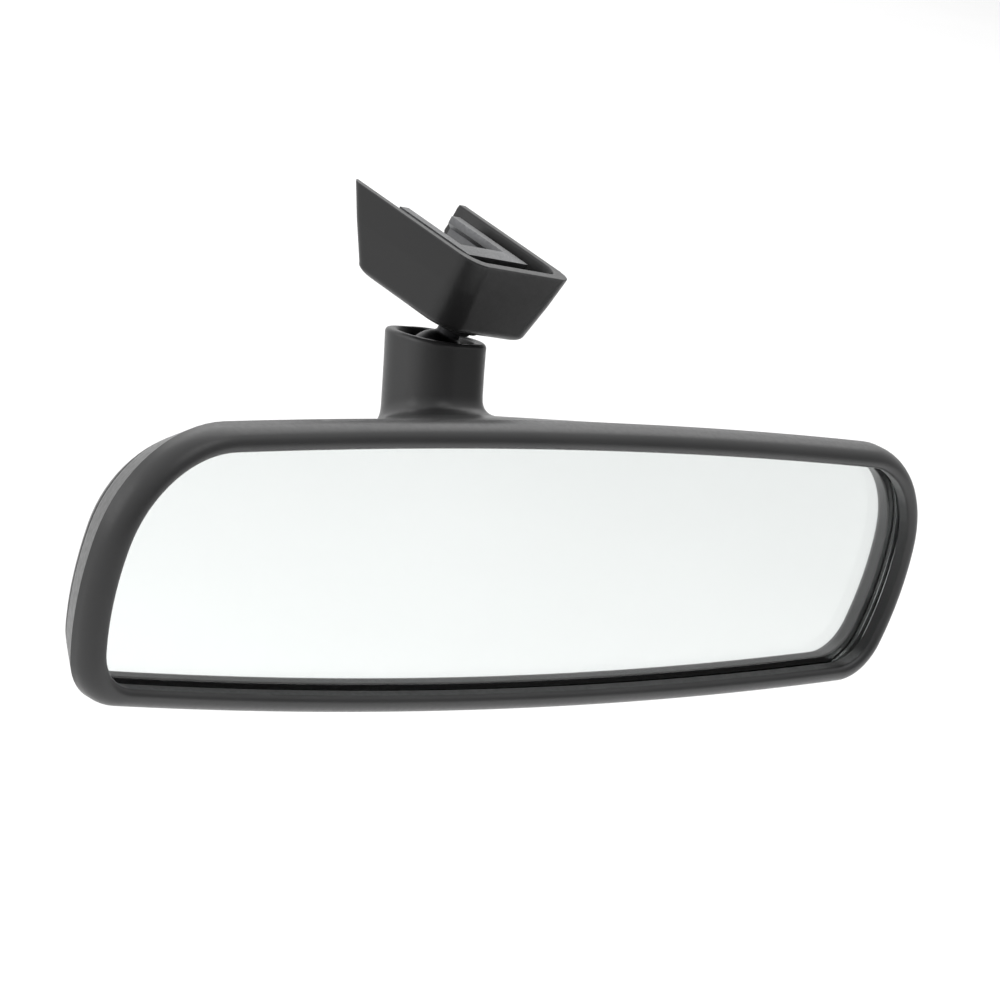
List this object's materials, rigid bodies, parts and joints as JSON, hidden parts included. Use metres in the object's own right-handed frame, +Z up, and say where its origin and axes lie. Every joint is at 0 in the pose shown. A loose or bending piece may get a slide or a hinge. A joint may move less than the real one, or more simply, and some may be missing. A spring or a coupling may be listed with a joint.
{
  "type": "interior rearview mirror",
  "caption": "Interior rearview mirror: silvered glass in a framed housing with a neck, turning on a sprung ball stud under a windscreen mount.",
  "frame": {"origin": "middle of the flat cast seat of the mount channel, the face that bears on the windscreen side", "axes": "+X along the mirror, -Y the way the glass faces, +Z up; the windscreen mount leans as it does in the pose shown"},
  "size_m": [0.2492, 0.0699, 0.0951],
  "materials": {
    "housing_plastic": "fine-grained black moulded plastic",
    "mount_plastic": "fine-grained black moulded plastic",
    "inner_plastic": "plain dark grey moulding, hidden inside",
    "mirror_glass": "clear polished glass",
    "mirror_silver": "silvered back face",
    "foam": "closed-cell foam tape",
    "steel": "bright drawn steel",
    "black_steel": "black phosphated steel",
    "zinc": "as-cast zinc alloy",
    "nylon": "natural acetal",
    "rubber": "black rubber"
  },
  "bodies": {
    "mount": {"mount_cover": "mount_plastic", "mount_channel": "zinc", "spring_clip": "steel", "clip_screw": "zinc", "ball_stud": "black_steel", "lock_washer": "steel", "stud_nut": "zinc"},
    "swivel_ring": {"dust_ring": "rubber"},
    "pressure_pad": {"friction_pad": "nylon"},
    "mirror_head": {"front_frame": "housing_plastic", "rear_cover": "housing_plastic", "mirror_glass": "mirror_glass", "mirror_coating": "mirror_silver", "backing_pad": "foam", "glass_carrier": "inner_plastic", "carrier_screw_1": "steel", "carrier_screw_2": "steel", "carrier_screw_3": "steel", "carrier_screw_4": "steel", "socket_sleeve": "black_steel", "spring_cap": "nylon", "clamp_spring": "steel", "sleeve_plug": "zinc", "retainer_plate": "steel", "retainer_screw_left": "steel", "retainer_screw_right": "steel"}
  },
  "joints": [
    {"name": "ball_swivel", "type": "hinge", "parent": "mount", "child": "swivel_ring", "pos_m": [-0.00309, 0.00444, -0.02543], "axis": [0.118, -0.1632, 0.9795], "range_deg": [-25, 25]},
    {"name": "ball_nod", "type": "hinge", "parent": "swivel_ring", "child": "pressure_pad", "pos_m": [-0.00309, 0.00444, -0.02543], "axis": [1, 0, 0], "range_deg": [-4, 25]},
    {"name": "ball_cant", "type": "hinge", "parent": "pressure_pad", "child": "mirror_head", "pos_m": [-0.00309, 0.00444, -0.02543], "axis": [0, 1, 0], "range_deg": [-5, 14]}
  ]
}
